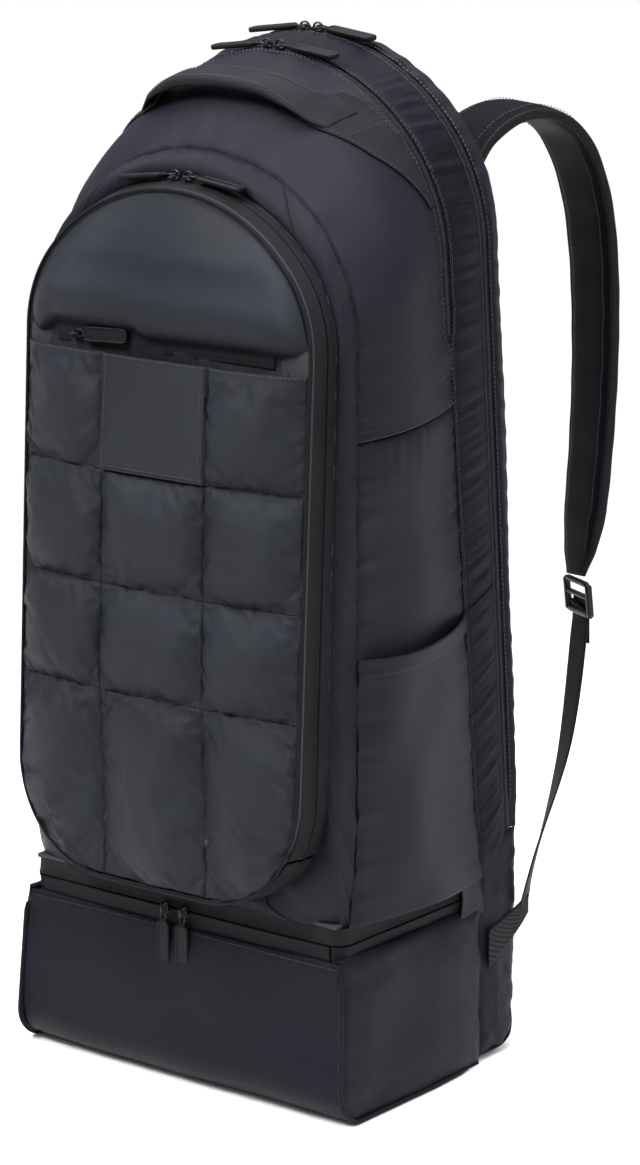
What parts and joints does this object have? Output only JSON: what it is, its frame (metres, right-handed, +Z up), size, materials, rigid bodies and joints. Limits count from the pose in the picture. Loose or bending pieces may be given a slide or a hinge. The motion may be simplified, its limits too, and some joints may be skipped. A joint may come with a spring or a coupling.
{
  "type": "racket backpack",
  "caption": "Upright backpack for rackets with a quilted front pocket, shoe compartment, two arched main zips, grab handle and padded shoulder straps.",
  "frame": {"origin": "centre of the width on the flat underside, at the middle of the body's depth without the straps", "axes": "+Z up, front pocket faces -Y, shoulder straps at +Y, +X to the right seen from the front"},
  "size_m": [0.323, 0.4201, 0.7719],
  "materials": {
    "air_mesh": "padded mesh and nylon",
    "board": "stiff sheet",
    "buckle_plastic": "moulded acetal",
    "coil": "nylon coil",
    "lining": "matt lining",
    "piping": "satin piping",
    "pull_rubber": "matt moulded",
    "quilt_nylon": "semi-matt padded nylon",
    "shell_nylon": "semi-matt coated nylon",
    "slider_metal": "dark lacquered die-cast",
    "webbing": "woven webbing",
    "zip_tape": "fine-ribbed tape"
  },
  "bodies": {
    "main_body": {"base_tub": "shell_nylon", "base_board": "board", "base_piping": "piping", "shoe_zip_tape": "zip_tape", "sleeve_tub": "shell_nylon", "compartment_floor": "lining", "top_panel": "shell_nylon", "side_panel_left": "shell_nylon", "side_panel_right": "shell_nylon", "front_wall": "lining", "pocket_gusset": "shell_nylon", "pocket_zip_tape": "zip_tape", "pocket_foot": "quilt_nylon", "main_zip_tape": "zip_tape", "main_zip_chain": "coil", "gusset_band": "shell_nylon", "racket_zip_tape": "zip_tape", "main_divider": "lining", "handle_grip": "webbing", "handle_patches": "webbing", "side_pocket_left": "shell_nylon", "side_pocket_right": "shell_nylon", "strap_anchors": "webbing", "webbing_left": "webbing", "webbing_right": "webbing"},
    "shoe_flap": {"shoe_flap_panel": "shell_nylon", "shoe_flap_tape": "zip_tape"},
    "pocket_flap": {"backing_panel": "lining", "arch_pad": "quilt_nylon", "quilted_panel": "quilt_nylon", "pocket_piping": "piping", "pocket_flap_tape": "zip_tape", "slip_zip_tape": "zip_tape"},
    "racket_door": {"door_rim": "shell_nylon", "back_panel": "air_mesh", "frame_sheet": "board", "door_zip_tape": "zip_tape", "back_pads": "air_mesh", "strap_left": "air_mesh", "strap_right": "air_mesh", "ladder_lock_left": "buckle_plastic", "ladder_lock_right": "buckle_plastic"},
    "main_left_slider": {"main_left_slider": "slider_metal"},
    "main_left_pull": {"main_left_pull": "pull_rubber"},
    "main_right_slider": {"main_right_slider": "slider_metal"},
    "main_right_pull": {"main_right_pull": "pull_rubber"},
    "racket_left_slider": {"racket_left_slider": "slider_metal"},
    "racket_left_pull": {"racket_left_pull": "pull_rubber"},
    "racket_right_slider": {"racket_right_slider": "slider_metal"},
    "racket_right_pull": {"racket_right_pull": "pull_rubber"},
    "pocket_left_slider": {"pocket_left_slider": "slider_metal"},
    "pocket_left_pull": {"pocket_left_pull": "pull_rubber"},
    "pocket_right_slider": {"pocket_right_slider": "slider_metal"},
    "pocket_right_pull": {"pocket_right_pull": "pull_rubber"},
    "shoe_left_slider": {"shoe_left_slider": "slider_metal"},
    "shoe_left_pull": {"shoe_left_pull": "pull_rubber"},
    "shoe_right_slider": {"shoe_right_slider": "slider_metal"},
    "shoe_right_pull": {"shoe_right_pull": "pull_rubber"},
    "slip_slider": {"slip_slider": "slider_metal"},
    "slip_pull": {"slip_pull": "pull_rubber"}
  },
  "joints": [
    {"name": "shoe_flap_hinge", "type": "hinge", "parent": "main_body", "child": "shoe_flap", "pos_m": [0, -0.1113, 0.035], "axis": [1, 0, 0], "range_deg": [0, 95]},
    {"name": "pocket_flap_hinge", "type": "hinge", "parent": "main_body", "child": "pocket_flap", "pos_m": [0, -0.15, 0.199], "axis": [1, 0, 0], "range_deg": [0, 75]},
    {"name": "racket_door_hinge", "type": "hinge", "parent": "main_body", "child": "racket_door", "pos_m": [0, 0.1105, 0.175], "axis": [-1, 0, 0], "range_deg": [0, 30], "deforming": ["webbing_left", "webbing_right"]},
    {"name": "main_left_zip", "type": "hinge", "parent": "main_body", "child": "main_left_slider", "pos_m": [0, 0.01681, 0.60896], "axis": [0, -0.995, -0.0995], "range_deg": [0, 45]},
    {"name": "main_left_pull_hinge", "type": "hinge", "parent": "main_left_slider", "child": "main_left_pull", "pos_m": [-0.00613, 0.00163, 0.76078], "axis": [0, 0.995, 0.0995], "range_deg": [0, 95]},
    {"name": "main_right_zip", "type": "hinge", "parent": "main_body", "child": "main_right_slider", "pos_m": [0, 0.01681, 0.60896], "axis": [0, 0.995, 0.0995], "range_deg": [0, 45]},
    {"name": "main_right_pull_hinge", "type": "hinge", "parent": "main_right_slider", "child": "main_right_pull", "pos_m": [0.00613, 0.00163, 0.76078], "axis": [0, -0.995, -0.0995], "range_deg": [0, 95]},
    {"name": "racket_left_zip", "type": "hinge", "parent": "racket_door", "child": "racket_left_slider", "pos_m": [0, 0.05831, 0.61489], "axis": [0, -0.9966, -0.0826], "range_deg": [0, 48]},
    {"name": "racket_left_pull_hinge", "type": "hinge", "parent": "racket_left_slider", "child": "racket_left_pull", "pos_m": [-0.00625, 0.04546, 0.76993], "axis": [0, 0.9966, 0.0826], "range_deg": [0, 95]},
    {"name": "racket_right_zip", "type": "hinge", "parent": "racket_door", "child": "racket_right_slider", "pos_m": [0, 0.05831, 0.61489], "axis": [0, 0.9966, 0.0826], "range_deg": [0, 48]},
    {"name": "racket_right_pull_hinge", "type": "hinge", "parent": "racket_right_slider", "child": "racket_right_pull", "pos_m": [0.00625, 0.04546, 0.76993], "axis": [0, -0.9966, -0.0826], "range_deg": [0, 95]},
    {"name": "pocket_left_zip", "type": "hinge", "parent": "pocket_flap", "child": "pocket_left_slider", "pos_m": [0, -0.10883, 0.52253], "axis": [0, -0.9991, 0.0424], "range_deg": [0, 43]},
    {"name": "pocket_left_pull_hinge", "type": "hinge", "parent": "pocket_left_slider", "child": "pocket_left_pull", "pos_m": [-0.00619, -0.10229, 0.67647], "axis": [0, 0.9991, -0.0424], "range_deg": [0, 60]},
    {"name": "pocket_right_zip", "type": "hinge", "parent": "pocket_flap", "child": "pocket_right_slider", "pos_m": [0, -0.10883, 0.52253], "axis": [0, 0.9991, -0.0424], "range_deg": [0, 43]},
    {"name": "pocket_right_pull_hinge", "type": "hinge", "parent": "pocket_right_slider", "child": "pocket_right_pull", "pos_m": [0.00619, -0.10229, 0.67647], "axis": [0, -0.9991, 0.0424], "range_deg": [0, 60]},
    {"name": "shoe_left_zip", "type": "slide", "parent": "shoe_flap", "child": "shoe_left_slider", "axis": [-1, 0, 0], "range_m": [0, 0.115]},
    {"name": "shoe_left_pull_hinge", "type": "hinge", "parent": "shoe_left_slider", "child": "shoe_left_pull", "pos_m": [-0.014, -0.1137, 0.134], "axis": [-1, 0, 0], "range_deg": [0, 100]},
    {"name": "shoe_right_zip", "type": "slide", "parent": "shoe_flap", "child": "shoe_right_slider", "axis": [1, 0, 0], "range_m": [0, 0.125]},
    {"name": "shoe_right_pull_hinge", "type": "hinge", "parent": "shoe_right_slider", "child": "shoe_right_pull", "pos_m": [0.004, -0.1137, 0.134], "axis": [-1, 0, 0], "range_deg": [0, 100]},
    {"name": "slip_zip", "type": "slide", "parent": "pocket_flap", "child": "slip_slider", "axis": [1, 0, 0], "range_m": [0, 0.16]},
    {"name": "slip_pull_hinge", "type": "hinge", "parent": "slip_slider", "child": "slip_pull", "pos_m": [-0.082, -0.1267, 0.55761], "axis": [0, -0.0499, -0.9988], "range_deg": [0, 80]}
  ]
}
